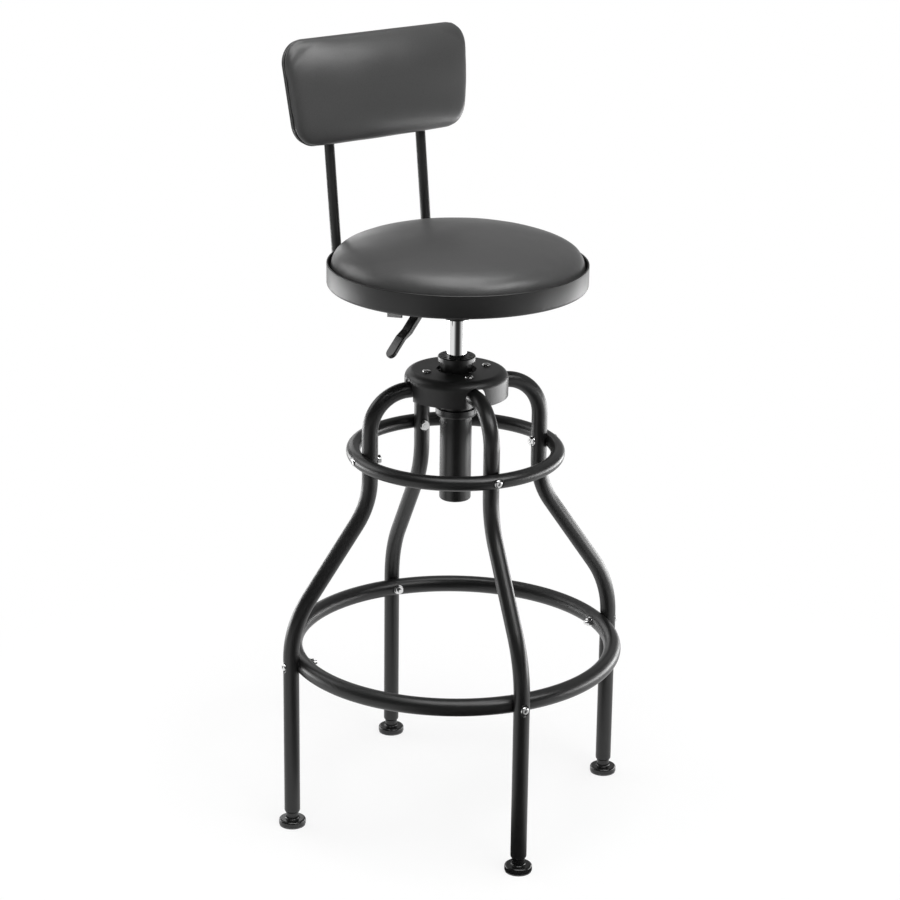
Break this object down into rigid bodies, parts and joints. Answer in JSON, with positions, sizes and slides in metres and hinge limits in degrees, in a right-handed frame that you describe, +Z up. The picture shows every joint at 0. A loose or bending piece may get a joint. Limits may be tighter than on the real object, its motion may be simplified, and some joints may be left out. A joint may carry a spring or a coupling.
{
  "type": "machinist stool",
  "caption": "Tall gas lift stool with a round padded seat in a steel rim, a padded backrest on two posts, bent tube legs, bolted rings, a release lever and levelling feet.",
  "frame": {"origin": "on the floor, under the axis of the gas lift", "axes": "+Z up, the person on the seat faces -Y, and +X is on their left"},
  "size_m": [0.5048, 0.5048, 1.0856],
  "materials": {
    "black_tube_paint": "satin black powder coat",
    "black_hub_paint": "satin black powder coat on a casting",
    "black_column_paint": "semi-gloss black paint",
    "black_rim_paint": "satin black powder coat on sheet steel",
    "black_mechanism_paint": "matt black paint",
    "chrome": "bright chrome plate",
    "zinc_fasteners": "bright zinc plate",
    "steel": "ground steel",
    "bearing_steel": "polished bearing steel",
    "black_nylon": "satin black nylon",
    "black_foot_plastic": "semi-gloss black plastic",
    "natural_nylon": "natural nylon",
    "sole_rubber": "grey rubber",
    "bumper_rubber": "black rubber",
    "seat_vinyl": "charcoal vinyl-coated fabric, satin",
    "plywood": "raw plywood",
    "back_board": "black back shell"
  },
  "bodies": {
    "base": {"leg_1": "black_tube_paint", "leg_2": "black_tube_paint", "leg_3": "black_tube_paint", "leg_4": "black_tube_paint", "leg_plugs": "black_nylon", "upper_ring": "black_tube_paint", "foot_ring": "black_tube_paint", "upper_ring_bolts": "zinc_fasteners", "upper_ring_nuts": "zinc_fasteners", "foot_ring_bolts": "zinc_fasteners", "foot_ring_nuts": "zinc_fasteners", "hub_housing": "black_hub_paint", "hub_screws": "zinc_fasteners", "leg_inserts": "steel", "column_socket": "black_column_paint", "column_tube": "black_column_paint", "guide_bushing": "black_nylon", "lower_thrust_washer": "bearing_steel", "bearing_balls": "bearing_steel", "ball_cage": "natural_nylon"},
    "spindle": {"upper_thrust_washer": "bearing_steel", "piston_rod": "steel", "retaining_clip": "steel", "rubber_bumper": "bumper_rubber", "piston": "natural_nylon"},
    "seat": {"lift_tube": "chrome", "lift_seal": "steel", "valve_body": "steel", "mechanism_plate": "black_mechanism_paint", "taper_socket": "black_mechanism_paint", "lever_pivot_pin": "steel", "seat_rim": "black_rim_paint", "seat_board": "plywood", "tee_nuts": "zinc_fasteners", "plate_bolts": "zinc_fasteners", "seat_cushion": "seat_vinyl", "back_post_left": "black_tube_paint", "back_post_right": "black_tube_paint", "post_caps": "black_nylon", "post_saddles": "black_nylon", "post_bolts": "zinc_fasteners", "backrest_board": "back_board", "backrest_cushion": "seat_vinyl", "backrest_screws": "zinc_fasteners"},
    "lever": {"lever_arm": "black_mechanism_paint", "lever_handle": "black_nylon"},
    "release_pin": {"release_pin": "steel"},
    "foot_1": {"foot_pad_1": "black_foot_plastic", "foot_sole_1": "sole_rubber", "foot_stem_1": "steel"},
    "foot_2": {"foot_pad_2": "black_foot_plastic", "foot_sole_2": "sole_rubber", "foot_stem_2": "steel"},
    "foot_3": {"foot_pad_3": "black_foot_plastic", "foot_sole_3": "sole_rubber", "foot_stem_3": "steel"},
    "foot_4": {"foot_pad_4": "black_foot_plastic", "foot_sole_4": "sole_rubber", "foot_stem_4": "steel"}
  },
  "joints": [
    {"name": "seat_swivel", "type": "hinge", "parent": "base", "child": "spindle", "pos_m": [0, 0, 0.47], "axis": [0, 0, 1], "continuous": true},
    {"name": "seat_height", "type": "slide", "parent": "spindle", "child": "seat", "axis": [0, 0, 1], "range_m": [-0.045, 0.075]},
    {"name": "lever_tip", "type": "hinge", "parent": "seat", "child": "lever", "pos_m": [-0.022, 0, 0.7583], "axis": [0, 1, 0], "range_deg": [0, 6], "stiffness_Nm_per_rad": 3, "springref_deg": -6.88},
    {"name": "release_press", "type": "slide", "parent": "seat", "child": "release_pin", "axis": [0, 0, -1], "range_m": [0, 0.003]},
    {"name": "foot_1_height", "type": "slide", "parent": "base", "child": "foot_1", "axis": [0, 0, -1], "range_m": [0, 0.015]},
    {"name": "foot_2_height", "type": "slide", "parent": "base", "child": "foot_2", "axis": [0, 0, -1], "range_m": [0, 0.015]},
    {"name": "foot_3_height", "type": "slide", "parent": "base", "child": "foot_3", "axis": [0, 0, -1], "range_m": [0, 0.015]},
    {"name": "foot_4_height", "type": "slide", "parent": "base", "child": "foot_4", "axis": [0, 0, -1], "range_m": [0, 0.015]}
  ],
  "couplings": [
    {"joint": "release_press", "follows": "lever_tip", "m_per_rad": 0.022}
  ]
}
